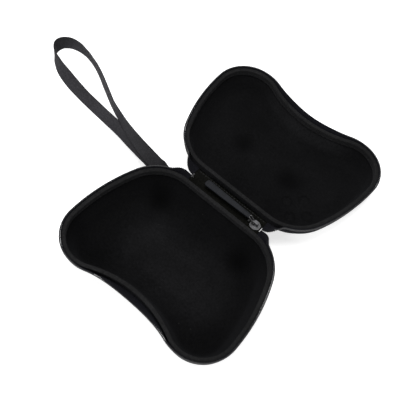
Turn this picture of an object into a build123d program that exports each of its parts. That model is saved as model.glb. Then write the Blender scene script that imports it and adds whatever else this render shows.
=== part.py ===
"""Zipped hard case for a game controller, lying open: a deep base and a shallower lid on a fabric hinge.

Both halves share one rim outline. The origin is the centre of the base's foot, on the table, with +Z up,
+X along the hinge towards the slider, and +Y from the base to the lid.
"""

import os
from math import asin, atan2, cos, degrees, hypot, radians, sin, sqrt, tan

from build123d import *

os.makedirs("parts", exist_ok=True)

# Rim outline, the same for both halves
case_width = 172.0
case_depth = 118.3
corner_radius = 40.5
side_heading = 67.5
lobe_radius = 30.4
waist_turn = 26.0

# Shells and lining
base_depth = 34.0
lid_depth = 28.0
seam_depth = 6.5
wall_draft = 24.0
foot_rounding = 16.0
wall_thickness = 2.2
floor_thickness = 3.4
lining_thickness = 0.5

# Rim binding and zip
binding_thickness = 0.5
binding_leg = 5.8
closed_gap = 4.6
cloth_clearance = 0.25
coil_clearance = 0.15
sewing_clearance = 0.05
tape_thickness = 0.6
coil_thickness = 1.35
coil_height = 1.9
waist_lean = 48.0
waist_reach = 62.0
hinge_twist_length = 16.0
tape_start = 38.0
stations_per_half = 36

# Fabric hinge
strip_middle_end = 26.5
strip_thickness = 1.0
facing_thickness = 0.6
fold_clearance = 0.3

# Slider and pull
slider_start = 27.0
slider_length = 9.6
slider_width = 8.8
slider_nose = 5.2
slider_mouth = 4.4
shield_round = 1.0
plate_thickness = 1.0
plate_gap = 2.3
bail_width = 1.4
bail_length = 6.4
bail_height = 4.3
bail_bar = 1.1
pivot_radius = 0.92
pivot_clearance = 0.08
cheek_clearance = 0.15
link_length = 5.4
tongue_length = 3.0
tab_length = 48.0
tab_root_width = 4.2
tab_end_width = 6.4
tab_thickness = 1.6
stop_length = 1.4
stop_height = 0.8

# Moulded relief
mound_height = 2.6
mound_width = 0.42 * case_width
mound_length = 46.0
mound_from_hinge = 60.0
mound_slope = 66.0
pocket_radius = 10.0
pocket_depth = 1.2
pocket_spread = 0.25 * case_width
pocket_from_hinge = 33.5
stick_radius = 12.0
stick_depth = 2.4
left_stick_x = -0.177 * case_width
left_stick_from_hinge = 60.0
right_stick_x = 0.134 * case_width
right_stick_from_hinge = 54.5
dish_slope = 58.0
pad_x = -0.279 * case_width
pad_from_hinge = 41.0
pad_arm = 24.0
pad_arm_width = 8.0
buttons_x = 0.265 * case_width
buttons_from_hinge = 39.0
button_radius = 4.6
button_ring = 11.2
button_depth = 1.0

# Wrist strap
strap_width = 12.0
strap_thickness = 1.2
strap_steps = 4
root_from_middle = 58.5
root_length = 4.0
root_bend = 1.3
root_stiff = 2.5
root_turning = 12.0
tack_lift = 2.9
tack_clearance = 0.25
tack_length = 8.0
tack_height = 2.2
tack_thickness = 0.4

# Worked out from the sizes above
strip_width = 2 * seam_depth + closed_gap
rim_stack = wall_thickness + lining_thickness + binding_thickness
side_rise = case_depth - lobe_radius - corner_radius * (1 - cos(radians(side_heading)))
side_radius = side_rise / cos(radians(side_heading))
corner_reach = corner_radius * sin(radians(side_heading))
flat_half = case_width / 2 - corner_reach - side_radius * (1 - sin(radians(side_heading)))
lobe_centre_x = case_width / 2 - lobe_radius
waist_start_x = lobe_centre_x - lobe_radius * sin(radians(waist_turn))
waist_radius = waist_start_x / sin(radians(waist_turn))
link_half_width = closed_gap / 2 - binding_thickness - fold_clearance
tape_width = seam_depth + closed_gap / 2 - cloth_clearance - coil_clearance
fold_height = base_depth - seam_depth
base_fold_y = case_depth / 2
lid_fold_y = base_fold_y + strip_width
hinge_y = base_fold_y + strip_width / 2


def lid_tilt():
    """Angle in degrees by which the open lid leans down to stand on the far edge of its floor."""
    lobe_drop = (lid_depth - seam_depth) * tan(radians(wall_draft))
    rounding_reach = foot_rounding * tan(radians(45 - wall_draft / 2))
    reach = case_depth - lobe_drop - rounding_reach
    below_fold = lid_depth - foot_rounding - seam_depth
    return degrees(asin((fold_height - foot_rounding) / hypot(reach, below_fold)) - atan2(below_fold, reach))


tilt = lid_tilt()
lid_up = Vector(0, sin(radians(tilt)), cos(radians(tilt)))
base_rim = Plane(origin=(0, base_fold_y, base_depth), x_dir=(-1, 0, 0), z_dir=(0, 0, 1))
lid_rim = Plane(
    origin=Vector(0, lid_fold_y, fold_height) + lid_up * seam_depth, x_dir=(1, 0, 0), z_dir=lid_up
)
rims = {"base": base_rim, "lid": lid_rim}
depths = {"base": base_depth, "lid": lid_depth}
finished = []


def keep(piece, name):
    """Names a finished piece and lists it for export."""
    piece.label = name
    finished.append(piece)


def half_outline(inset):
    """Tangent arcs from the middle of the hinge side to the middle of the waist."""
    flat = Line((0, inset), (flat_half, inset))
    corner = JernArc(flat @ 1, flat % 1, corner_radius - inset, side_heading)
    side = JernArc(corner @ 1, corner % 1, side_radius - inset, 90 - side_heading)
    lobe = JernArc(side @ 1, side % 1, lobe_radius - inset, 90 + waist_turn)
    JernArc(lobe @ 1, lobe % 1, waist_radius + inset, -waist_turn)


def outline(inset):
    """The whole outline as a flat face, moved inwards all round by the inset."""
    with BuildSketch() as flat_face:
        with BuildLine():
            half_outline(inset)
            mirror(about=Plane.YZ)
        make_face()
    return flat_face.sketch


def bowl(rim, inset, depth, rounding):
    """Solid bowl under the rim plane: upright to the seam, then drafted, with a rounded foot."""
    shape = outline(inset)
    with BuildPart() as solid:
        with BuildSketch(rim):
            add(shape)
        extrude(amount=-seam_depth)
        with BuildSketch(rim.offset(-seam_depth)):
            add(shape)
        extrude(amount=-(depth - seam_depth), taper=wall_draft)
        foot = solid.faces().sort_by(Axis(rim.origin, rim.z_dir))[0]
        fillet(foot.edges(), rounding)
    return solid.part


def rim_band(rim, outer_inset, inner_inset, height):
    """Upright band that follows the outline on the rim plane, upwards or, with a minus sign, downwards."""
    outer = outline(outer_inset)
    inner = outline(inner_inset)
    with BuildPart() as band:
        with BuildSketch(rim):
            add(outer)
            add(inner, mode=Mode.SUBTRACT)
        extrude(amount=height)
    return band.part


def base_relief(rim, floor, grow):
    """Low mound in the middle of the base's floor, and the two pockets beside the hinge."""
    with BuildPart() as mound:
        with BuildSketch(rim.offset(-floor)):
            with Locations((0, mound_from_hinge)):
                RectangleRounded(mound_width + 2 * grow, mound_length + 2 * grow, mound_length / 3)
        extrude(amount=mound_height, taper=mound_slope)
    with BuildPart() as pockets:
        with BuildSketch(rim.offset(-floor)):
            with Locations((-pocket_spread, pocket_from_hinge), (pocket_spread, pocket_from_hinge)):
                Circle(pocket_radius - grow)
        extrude(amount=-pocket_depth, taper=dish_slope)
    return mound.part, pockets.part


def lid_relief(rim, floor, grow):
    """Sunk places in the lid's floor for two sticks, a cross pad and four buttons."""
    with BuildPart() as sunk:
        with BuildSketch(rim.offset(-floor)):
            with Locations((left_stick_x, left_stick_from_hinge), (right_stick_x, right_stick_from_hinge)):
                Circle(stick_radius - grow)
        extrude(amount=-stick_depth, taper=dish_slope)
        with BuildSketch(rim.offset(-floor)):
            with Locations((pad_x, pad_from_hinge)):
                Rectangle(pad_arm - 2 * grow, pad_arm_width - 2 * grow)
                Rectangle(pad_arm_width - 2 * grow, pad_arm - 2 * grow)
            with Locations((buttons_x, buttons_from_hinge)):
                with PolarLocations(button_ring, 4):
                    Circle(button_radius - grow)
        extrude(amount=-button_depth)
    return sunk.part


def hollow(side, layers):
    """The space inside one half, within the shell alone or within shell and lining."""
    rim = rims[side]
    lining = lining_thickness * layers
    floor = depths[side] - floor_thickness - lining
    rounding = foot_rounding - floor_thickness - lining
    space = bowl(rim, wall_thickness + lining, floor, rounding)
    if side == "lid":
        sunk = lid_relief(rim, floor, lining)
        with BuildPart() as shaped:
            add(space)
            add(sunk)
        return shaped.part
    mound, pockets = base_relief(rim, floor, lining)
    with BuildPart() as shaped:
        add(space)
        add(pockets)
        add(mound, mode=Mode.SUBTRACT)
    return shaped.part


def ease(value):
    """Smooth step from 0 to 1, held outside that range."""
    held = min(max(value, 0.0), 1.0)
    return held * held * (3 - 2 * held)


with BuildLine() as half_rim:
    half_outline(0)
rim_path = half_rim.wires()[0]


def tape_lean(distance):
    """Outward lean of the zip tape: flat at the hinge's ends, upright round the sides, leaning at the waist."""
    at_hinge = 90 * (1 - ease((distance - tape_start) / hinge_twist_length))
    at_waist = waist_lean * (1 - ease((rim_path.length - distance) / waist_reach))
    return radians(at_hinge + at_waist)


def tape_plane(rim, distance, side):
    """Plane across the zip tape: local x runs from the seam to the coil, local y points outwards."""
    point = rim_path.position_at(distance / rim_path.length)
    run = rim_path.tangent_at(distance / rim_path.length)
    along = Vector(run.X, side * run.Y, 0)
    outwards = Vector(side * run.Y, -run.X, 0)
    lean = tape_lean(distance)
    across = Vector(0, 0, cos(lean)) + outwards * sin(lean)
    seam = Vector(side * point.X, point.Y, -seam_depth) + outwards * cloth_clearance
    middle = seam + across * (tape_width / 2) + along.cross(across) * (tape_thickness / 2)
    return Plane(
        origin=rim.from_local_coords(middle),
        x_dir=rim.from_local_coords(across) - rim.origin,
        z_dir=rim.from_local_coords(along) - rim.origin,
    )


def tape_planes(rim):
    """Planes across the tape from the slider's end of the hinge, round the waist, to the other end."""
    step = (rim_path.length - tape_start) / stations_per_half
    distances = [tape_start + step * count for count in range(stations_per_half + 1)]
    first_half = [tape_plane(rim, distance, 1) for distance in distances]
    second_half = [tape_plane(rim, distance, -1) for distance in reversed(distances[:-1])]
    return first_half + second_half


# Shells, linings, bindings and zip halves
for side, rim in rims.items():
    outside = bowl(rim, 0, depths[side], foot_rounding)
    shell_space = hollow(side, 0)
    lined_space = hollow(side, 1)
    with BuildPart() as shell:
        add(outside)
        add(shell_space, mode=Mode.SUBTRACT)
    keep(shell.part, side + "_shell")

    with BuildPart() as lining:
        add(shell_space)
        add(lined_space, mode=Mode.SUBTRACT)
    keep(lining.part, side + "_lining")

    binding_top = rim_band(rim, 0, rim_stack, binding_thickness)
    binding_inside = rim_band(rim, rim_stack - binding_thickness, rim_stack, -binding_leg)
    with BuildPart() as binding:
        add(binding_top)
        add(binding_inside)
    keep(binding.part, side + "_binding")

    planes = tape_planes(rim)
    with BuildPart() as zip_tape:
        for plane in planes:
            with BuildSketch(plane):
                Rectangle(tape_width, tape_thickness)
        loft(ruled=True)
    keep(zip_tape.part, side + "_zip_tape")

    coil_x = (tape_width - coil_height) / 2
    coil_y = (tape_thickness + coil_thickness) / 2 + sewing_clearance
    with BuildPart() as zip_coil:
        for plane in planes:
            with BuildSketch(plane):
                with Locations((coil_x, coil_y)):
                    Rectangle(coil_height, coil_thickness)
        loft(ruled=True)
    keep(zip_coil.part, side + "_zip_coil")

    # The clip closes the coil's end that is away from the slider
    far_end = planes[0] if side == "base" else planes[-1]
    into_hinge = -1 if side == "base" else 1
    with BuildPart() as top_stop:
        with BuildSketch(far_end):
            with Locations((coil_x, coil_y / 2)):
                Rectangle(coil_height, tape_thickness + coil_thickness)
        extrude(amount=into_hinge * stop_length)
    keep(top_stop.part, side + "_top_stop")

# Fabric hinge: an outer strip and its inner facing, flat between the two seams. It reaches the tapes'
# ends on both sides, with a notch for the slider at one end and for the coils' clips at the other.
strip_reach = tape_start - fold_clearance
clip_notch = tape_start - stop_length
clip_notch_half_width = coil_clearance + coil_height + 2 * fold_clearance
strip_across = strip_width - 2 * fold_clearance
facing_top = fold_height - fold_clearance
strip_top = facing_top - facing_thickness
with BuildSketch() as strip_shape:
    with Locations((0, hinge_y)):
        Rectangle(2 * strip_reach, strip_across)
    with Locations(((strip_middle_end + strip_reach) / 2, hinge_y)):
        Rectangle(strip_reach - strip_middle_end, slider_width + 2 * fold_clearance, mode=Mode.SUBTRACT)
    with Locations((-(clip_notch + strip_reach) / 2, hinge_y)):
        Rectangle(strip_reach - clip_notch, 2 * clip_notch_half_width, mode=Mode.SUBTRACT)

with BuildPart() as hinge_facing:
    with BuildSketch(Plane.XY.offset(strip_top)):
        add(strip_shape.sketch)
    extrude(amount=facing_thickness)
keep(hinge_facing.part, "hinge_facing")

with BuildPart() as hinge_strip:
    with BuildSketch(Plane.XY.offset(strip_top)):
        add(strip_shape.sketch)
    extrude(amount=-strip_thickness)
keep(hinge_strip.part, "hinge_strip")

with BuildPart() as bottom_stop:
    with BuildSketch(Plane.XY.offset(facing_top)):
        with Locations((strip_middle_end - stop_length, hinge_y)):
            Rectangle(stop_length, 2 * link_half_width)
    extrude(amount=stop_height)
keep(bottom_stop.part, "bottom_stop")

# Slider: two shield-shaped plates joined by a post, with the bail on the upper one
plate_height = 2 * plate_thickness + plate_gap
nose_x = slider_start
mouth_x = slider_start + slider_length
waist_x = slider_start + slider_length / 4
heel_x = slider_start + 2 * slider_length / 3
shield = [
    (nose_x, slider_nose / 2),
    (waist_x, slider_width / 2),
    (heel_x, slider_width / 2),
    (mouth_x, slider_mouth / 2),
]
with BuildPart() as slider_body:
    with BuildSketch(Plane.XY.offset(facing_top)) as shield_sketch:
        with BuildLine(Plane((0, hinge_y, 0))):
            Polyline(*shield, *[(x, -y) for x, y in reversed(shield)], close=True)
        make_face()
        fillet(shield_sketch.vertices(), shield_round)
    extrude(amount=-plate_height)
    with BuildSketch(Plane.XY.offset(facing_top - plate_thickness)):
        with Locations(((nose_x + mouth_x) / 2, hinge_y)):
            Rectangle(slider_length, slider_width)
    extrude(amount=-plate_gap, mode=Mode.SUBTRACT)
    with BuildSketch(Plane.XY.offset(facing_top - plate_thickness)):
        with Locations((heel_x, hinge_y)):
            SlotOverall(slider_length / 3, plate_thickness)
    extrude(amount=-plate_gap)
    upper_rim = slider_body.faces().sort_by(Axis.Z)[-1].edges()
    fillet(upper_rim, plate_thickness / 3)
keep(slider_body.part, "slider_body")

# Bail: an arch along the slider, with a slot whose nose end holds the link's pin
slot_radius = pivot_radius + pivot_clearance
pivot_x = slider_start + plate_thickness + bail_bar + slot_radius
pivot_z = facing_top + bail_height - bail_bar - slot_radius
slot_length = bail_length - 2 * bail_bar
with BuildPart() as slider_bail:
    with BuildSketch(Plane.XZ.offset(-hinge_y)) as arch:
        with Locations((slider_start + plate_thickness + bail_length / 2, facing_top + bail_height / 2)):
            Rectangle(bail_length, bail_height)
        fillet(arch.vertices().group_by(Axis.Z)[-1], bail_height / 3)
        with Locations((slider_start + plate_thickness + bail_length / 2, pivot_z)):
            SlotOverall(slot_length, 2 * slot_radius, mode=Mode.SUBTRACT)
    extrude(amount=bail_width / 2, both=True)
keep(slider_bail.part, "slider_bail")

# Pull link: a pin in the bail, two cheeks and a tongue held in the tab. The tab lies just above the arc
# that the rims' inner corners swing through as the case closes.
corner_swing = hypot(seam_depth + binding_thickness, rim_stack)
tab_gap = (strip_width - tab_end_width) / 2
tab_under = fold_height + sqrt(corner_swing**2 - tab_gap**2) + fold_clearance
tab_root_x = pivot_x - link_length
cheek_thickness = link_half_width - bail_width / 2 - cheek_clearance
cheek_centre = link_half_width - cheek_thickness / 2
with BuildPart() as pull_link:
    with BuildSketch(Plane.XZ.offset(-hinge_y)):
        with Locations((pivot_x, pivot_z)):
            Circle(pivot_radius)
    extrude(amount=link_half_width, both=True)
    for cheek_side in (-1, 1):
        with BuildSketch(Plane.XZ.offset(-hinge_y - cheek_side * cheek_centre)):
            with BuildLine():
                Polyline(
                    (pivot_x, pivot_z - pivot_radius),
                    (pivot_x + pivot_radius, pivot_z),
                    (pivot_x, pivot_z + pivot_radius),
                    (tab_root_x + plate_thickness, tab_under + tab_thickness),
                    (tab_root_x, tab_under + tab_thickness),
                    (tab_root_x, tab_under),
                    close=True,
                )
            make_face()
        extrude(amount=cheek_thickness / 2, both=True)
    with BuildSketch(Plane.YZ.offset(tab_root_x)):
        with Locations((hinge_y, tab_under + tab_thickness / 2)):
            Rectangle(2 * link_half_width, tab_thickness / 2)
    extrude(amount=-tongue_length)
keep(pull_link.part, "pull_link")

with BuildPart() as pull_tab:
    with BuildSketch(Plane.XY.offset(tab_under)) as tab_sketch:
        with BuildLine():
            Polyline(
                (tab_root_x, hinge_y - tab_root_width / 2),
                (tab_root_x, hinge_y + tab_root_width / 2),
                (tab_root_x - tab_length, hinge_y + tab_end_width / 2),
                (tab_root_x - tab_length, hinge_y - tab_end_width / 2),
                close=True,
            )
        make_face()
        fillet(tab_sketch.vertices().group_by(Axis.X)[0], tab_end_width / 4)
    extrude(amount=tab_thickness)
    fillet(pull_tab.faces().sort_by(Axis.Z)[-1].edges(), tab_thickness / 4)
    with BuildSketch(Plane.YZ.offset(tab_root_x)):
        with Locations((hinge_y, tab_under + tab_thickness / 2)):
            Rectangle(2 * link_half_width, tab_thickness / 2)
    extrude(amount=-tongue_length, mode=Mode.SUBTRACT)
keep(pull_tab.part, "pull_tab")

# Wrist strap: its two ends lie against the zip tape at the base's corner, one over the other. The
# webbing runs down to the table, turns on edge round the loop, and comes back to lie on itself.
root_angle = asin((root_from_middle - flat_half) / corner_radius)
root_out = Vector(-sin(root_angle), cos(root_angle), 0)
root_along = Vector(cos(root_angle), sin(root_angle), 0)
root_wall = Vector(-root_from_middle, base_fold_y - corner_radius * (1 - cos(root_angle)), fold_height)
lower_leg = cloth_clearance + tape_thickness + fold_clearance + strap_thickness / 2
upper_leg = lower_leg + strap_thickness + cloth_clearance


def sewn(out, height):
    """Point of the middle line at a distance out from the corner's wall and a height above the fold."""
    return root_wall + root_out * out + Vector(0, 0, height)


def lying(x, y, lift, turn):
    """Point of the middle line where the webbing's lowest edge is at the lift and it has turned so far."""
    half_height = strap_width / 2 * abs(sin(radians(turn))) + strap_thickness / 2 * abs(cos(radians(turn)))
    return Vector(x, y, lift + half_height)


# Each row is x, y, the lowest edge's height and the upper face's turn, where minus is out of the loop
strap_rows = [
    (-67.9, 54.4, 23.1, 0),
    (-80.3, 57.0, 18.9, 0),
    (-101.4, 62.5, 10.9, 0),
    (-122.6, 68.2, 3.9, -2),
    (-140.3, 70.8, 0.9, -3),
    (-160.7, 72.6, 0.3, -3),
    (-181.0, 74.6, 0.3, -6),
    (-200.7, 77.4, 0.3, -30),
    (-217.3, 81.8, 0.3, -64),
    (-229.2, 89.4, 0.3, -94),
    (-232.4, 98.4, 0.2, -120),
    (-227.8, 105.0, 0.2, -116),
    (-218.5, 108.6, 0.2, -104),
    (-206.5, 108.6, 0.2, -92),
    (-193.6, 105.6, 0.2, -90),
    (-181.3, 100.9, 0.2, -95),
    (-169.5, 94.9, 0.2, -98),
    (-157.1, 88.4, 0.2, -98),
    (-145.3, 82.3, 1.2, -97),
    (-133.1, 76.9, 4.1, -101),
    (-121.2, 72.0, 6.2, -108),
    (-109.4, 67.4, 9.9, -116),
    (-101.0, 64.4, 12.9, -123),
    (-89.8, 60.7, 17.1, -136),
    (-82.0, 58.4, 20.3, -147),
    (-74.4, 56.6, 23.0, -158),
    (-67.3, 55.4, 25.2, -168),
]
lower_root = [
    (sewn(lower_leg, root_length), 0),
    (sewn(lower_leg, root_bend), 0),
    (sewn(lower_leg + root_bend, -root_bend), 0),
]
upper_root = [
    (sewn(upper_leg + 0.7 * root_bend, root_bend / 4), -180),
    (sewn(upper_leg, 2 * root_bend), -180),
    (sewn(upper_leg, root_length), -180),
]
strap_route = lower_root + [(lying(*row), row[3]) for row in strap_rows] + upper_root
with BuildLine() as strap_line:
    Spline(*[point for point, turn in strap_route])
strap_curve = strap_line.edges()[0]


def strap_plane(place, turn):
    """Plane across the webbing: local x is its width, and local y is its thickness."""
    run = strap_curve.tangent_at(place)
    from_root = min(place, 1 - place) * strap_curve.length
    free = ease((from_root - root_stiff) / root_turning)
    sewn_side = root_along if place < 0.5 else root_along * -1
    level_side = sewn_side * (1 - free) + run.cross(Vector(0, 0, 1)) * free
    upper_face = level_side.cross(run).normalized()
    side = run.cross(upper_face)
    face = upper_face * cos(radians(turn)) + side * sin(radians(turn))
    return Plane(origin=strap_curve.position_at(place), x_dir=face.cross(run), z_dir=run)


def strap_planes():
    """Planes across the webbing, a few to each span of the route."""
    points = [point for point, turn in strap_route]
    spans = [(second - first).length for first, second in zip(points, points[1:])]
    planes = []
    travelled = 0
    for row, span in enumerate(spans):
        first_turn = strap_route[row][1]
        last_turn = strap_route[row + 1][1]
        for step in range(strap_steps):
            share = step / strap_steps
            place = (travelled + span * share) / sum(spans)
            planes.append(strap_plane(place, first_turn + (last_turn - first_turn) * share))
        travelled += span
    return planes + [strap_plane(1, strap_route[-1][1])]


with BuildPart() as wrist_strap:
    for plane in strap_planes():
        with BuildSketch(plane):
            Rectangle(strap_width, strap_thickness)
    loft(ruled=True)
keep(wrist_strap.part, "wrist_strap")

tack_face = Plane(
    origin=sewn(upper_leg + strap_thickness / 2 + tack_clearance, tack_lift),
    x_dir=root_along,
    z_dir=root_out,
)
with BuildPart() as strap_bar_tack:
    with BuildSketch(tack_face):
        Rectangle(tack_length, tack_height)
    extrude(amount=tack_thickness)
keep(strap_bar_tack.part, "strap_bar_tack")

for piece in finished:
    export_step(piece, f"parts/{piece.label}.step")
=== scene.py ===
"""Looks for a zipped hard case for a game controller, lying open, laid out as an add-on and run as a script.

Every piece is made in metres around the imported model. The pieces that follow the rim are made under the
rim's own plane, with x along the hinge and y into the half, and are then laid on the base's or the lid's rim.
"""

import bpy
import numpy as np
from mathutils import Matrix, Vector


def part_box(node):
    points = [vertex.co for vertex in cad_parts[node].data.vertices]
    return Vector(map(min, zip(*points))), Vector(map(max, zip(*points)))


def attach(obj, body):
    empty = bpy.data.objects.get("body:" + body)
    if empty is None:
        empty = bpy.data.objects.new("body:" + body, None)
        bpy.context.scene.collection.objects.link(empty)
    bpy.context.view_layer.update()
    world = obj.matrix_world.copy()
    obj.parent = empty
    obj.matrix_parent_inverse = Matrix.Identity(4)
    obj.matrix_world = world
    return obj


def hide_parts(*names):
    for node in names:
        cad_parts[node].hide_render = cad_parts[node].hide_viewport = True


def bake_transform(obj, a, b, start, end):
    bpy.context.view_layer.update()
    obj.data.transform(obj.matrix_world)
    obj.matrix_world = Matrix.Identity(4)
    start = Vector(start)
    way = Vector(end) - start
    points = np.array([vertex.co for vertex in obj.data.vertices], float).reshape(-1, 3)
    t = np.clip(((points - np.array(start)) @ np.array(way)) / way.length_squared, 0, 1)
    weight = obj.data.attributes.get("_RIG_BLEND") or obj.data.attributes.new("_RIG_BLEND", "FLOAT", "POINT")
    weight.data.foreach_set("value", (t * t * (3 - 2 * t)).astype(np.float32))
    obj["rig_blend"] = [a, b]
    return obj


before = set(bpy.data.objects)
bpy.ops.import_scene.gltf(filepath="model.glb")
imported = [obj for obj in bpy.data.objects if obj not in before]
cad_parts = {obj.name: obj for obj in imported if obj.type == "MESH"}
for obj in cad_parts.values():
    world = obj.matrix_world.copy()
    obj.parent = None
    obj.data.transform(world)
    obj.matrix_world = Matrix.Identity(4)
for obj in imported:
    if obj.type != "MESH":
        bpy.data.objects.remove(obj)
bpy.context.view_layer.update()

from math import asin, atan2, cos, floor, hypot, pi, radians, sin, tan

import bmesh
import bpy
from mathutils import Matrix, Vector, noise

bl_info = {
    "name": "Controller carrying case",
    "version": (1, 0, 0),
    "blender": (4, 5, 0),
    "location": "3D View > Sidebar > Case",
    "description": "Builds the cloth, zip, webbing and metal of an open controller case",
    "category": "Object",
}

mm = 0.001

# Rim outline and heights, as in the part's source
case_width = 172.0 * mm
case_depth = 118.3 * mm
corner_radius = 40.5 * mm
side_heading = radians(67.5)
lobe_radius = 30.4 * mm
waist_turn = radians(26)
base_depth = 34.0 * mm
lid_depth = 28.0 * mm
seam_depth = 6.5 * mm
wall_draft = radians(24)
foot_rounding = 16.0 * mm
wall_thickness = 2.2 * mm
floor_thickness = 3.4 * mm
lining_thickness = 0.5 * mm
binding_thickness = 0.5 * mm
binding_leg = 5.8 * mm
closed_gap = 4.6 * mm
cloth_clearance = 0.25 * mm
coil_clearance = 0.15 * mm
sewing_clearance = 0.05 * mm
tape_thickness = 0.6 * mm
coil_thickness = 1.35 * mm
coil_height = 1.9 * mm
waist_lean = radians(48)
waist_reach = 62.0 * mm
hinge_twist_length = 16.0 * mm
tape_start = 38.0 * mm
lid_tilt = radians(3.504)

side_rise = case_depth - lobe_radius - corner_radius * (1 - cos(side_heading))
side_radius = side_rise / cos(side_heading)
corner_reach = corner_radius * sin(side_heading)
flat_half = case_width / 2 - corner_reach - side_radius * (1 - sin(side_heading))
waist_radius = (case_width / 2 - lobe_radius) / sin(waist_turn) - lobe_radius
rim_stack = wall_thickness + lining_thickness + binding_thickness
tape_width = seam_depth + closed_gap / 2 - cloth_clearance - coil_clearance
strip_width = 2 * seam_depth + closed_gap
fold_height = base_depth - seam_depth
base_fold_y = case_depth / 2
lid_fold_y = base_fold_y + strip_width
hinge_y = base_fold_y + strip_width / 2

lid_up = Vector((0, sin(lid_tilt), cos(lid_tilt)))
lid_in = Vector((0, cos(lid_tilt), -sin(lid_tilt)))
lid_origin = Vector((0, lid_fold_y, fold_height)) + lid_up * seam_depth
rims = {
    "base": Matrix(((-1, 0, 0, 0), (0, -1, 0, base_fold_y), (0, 0, 1, base_depth), (0, 0, 0, 1))),
    "lid": Matrix(
        (
            (1, 0, 0, 0),
            (0, lid_in.y, lid_up.y, lid_origin.y),
            (0, lid_in.z, lid_up.z, lid_origin.z),
            (0, 0, 0, 1),
        )
    ),
}
depths = {"base": base_depth, "lid": lid_depth}


def length_property(name, description, default):
    """A length that the user can change."""
    return bpy.props.FloatProperty(name=name, description=description, default=default, unit="LENGTH")


class CaseSizes(bpy.types.PropertyGroup):
    """Sizes of the stitches, threads and teeth."""

    mesh_spacing: length_property("Mesh spacing", "Length of a face round the rim", 1.35 * mm)
    coil_pitch: length_property("Tooth pitch", "Distance from one zip tooth to the next", 1.3 * mm)
    stitch_pitch: length_property("Stitch pitch", "Distance from one stitch to the next", 2.9 * mm)
    wrinkle_height: length_property("Wrinkle height", "How far the lining stands off its wall", 0.35 * mm)
    rib_pitch: length_property("Hinge rib pitch", "Distance between the ribs of the hinge", 1.5 * mm)


def colour_property(name, description, default):
    """A colour that the user can change."""
    return bpy.props.FloatVectorProperty(
        name=name, description=description, default=default, subtype="COLOR", min=0, max=1
    )


class CaseColours(bpy.types.PropertyGroup):
    """Colours of the cloths, threads, plastics and metal, in linear light."""

    lining: colour_property("Lining", "Soft cloth inside both halves", (0.0056, 0.0056, 0.0060))
    shell: colour_property("Shell cloth", "Cloth outside both halves", (0.0030, 0.0030, 0.0034))
    binding: colour_property("Binding", "Tape folded over both rims", (0.0105, 0.0105, 0.0108))
    tape: colour_property("Zip tape", "Woven tape that carries the teeth", (0.0046, 0.0046, 0.0066))
    coil: colour_property("Zip teeth", "Nylon teeth", (0.0120, 0.0120, 0.0130))
    hinge: colour_property("Hinge cloth", "Ribbed cloth between the halves", (0.0045, 0.0045, 0.0037))
    metal: colour_property("Metal", "Slider, bail, link and clips", (0.0700, 0.0700, 0.0720))
    pull: colour_property("Pull", "Moulded ribbon of the zip pull", (0.0050, 0.0056, 0.0074))
    webbing: colour_property("Webbing", "Wrist strap", (0.0320, 0.0310, 0.0350))
    thread: colour_property("Thread", "Sewing thread", (0.0100, 0.0100, 0.0108))


def sizes():
    """The sizes kept in the scene."""
    return bpy.context.scene.case_sizes


def colours():
    """The colours kept in the scene."""
    return bpy.context.scene.case_colours


def ease(value):
    """Smooth step from 0 to 1, held outside that range."""
    held = min(max(value, 0.0), 1.0)
    return held * held * (3 - 2 * held)


# The rim's outline


def find_rim_spans():
    """The arcs and the straight of half the outline: length, first point, heading, turn and centre."""
    spans = []
    spot = Vector((0, 0))
    heading = 0.0
    arcs = (
        (corner_radius, side_heading),
        (side_radius, pi / 2 - side_heading),
        (lobe_radius, pi / 2 + waist_turn),
        (waist_radius, -waist_turn),
    )
    spans.append({"length": flat_half, "start": spot, "heading": heading, "turn": 0.0, "centre": None})
    spot = Vector((flat_half, 0))
    for radius, turn in arcs:
        left = Vector((-sin(heading), cos(heading)))
        centre = spot + left * (radius if turn > 0 else -radius)
        length = radius * abs(turn)
        spans.append({"length": length, "start": spot, "heading": heading, "turn": turn, "centre": centre})
        spot = centre + Matrix.Rotation(turn, 2) @ (spot - centre)
        heading += turn
    return spans


rim_spans = find_rim_spans()
half_length = sum(span["length"] for span in rim_spans)


def rim_spot(distance, side):
    """Point, direction along and direction outwards of the outline at a distance from the hinge's middle."""
    left_over = min(max(distance, 0.0), half_length)
    for span in rim_spans:
        if left_over <= span["length"] or span is rim_spans[-1]:
            break
        left_over -= span["length"]
    share = left_over / span["length"]
    heading = span["heading"] + span["turn"] * share
    if span["centre"] is None:
        point = span["start"] + Vector((left_over, 0))
    else:
        point = span["centre"] + Matrix.Rotation(span["turn"] * share, 2) @ (span["start"] - span["centre"])
    along = Vector((cos(heading), side * sin(heading), 0))
    outwards = Vector((side * sin(heading), -cos(heading), 0))
    return Vector((side * point.x, point.y, 0)), along, outwards


def unroll(x, y):
    """How far round the rim a point under it lies, and how far inside the outline."""
    point = Vector((abs(x), y))
    travelled = 0.0
    best = (0.0, y)
    nearest = abs(y) + max(0.0, point.x - flat_half)
    for span in rim_spans:
        if span["centre"] is not None:
            bend = 1 if span["turn"] > 0 else -1
            first = span["start"] - span["centre"]
            ray = point - span["centre"]
            turned = atan2(first.x * ray.y - first.y * ray.x, first.dot(ray)) * bend
            if -0.02 <= turned <= abs(span["turn"]) + 0.02 and ray.length > 0:
                inset = (first.length - ray.length) * bend
                if abs(inset) < nearest:
                    nearest = abs(inset)
                    best = (travelled + turned * first.length, inset)
        elif point.x <= flat_half:
            best = (point.x, y)
        travelled += span["length"]
    distance, inset = best
    return (distance if x >= 0 else -distance), inset


# Modelling helpers


def select_only(piece):
    """Makes one object the selected and active one."""
    bpy.ops.object.select_all(action="DESELECT")
    piece.select_set(True)
    bpy.context.view_layer.objects.active = piece


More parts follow.
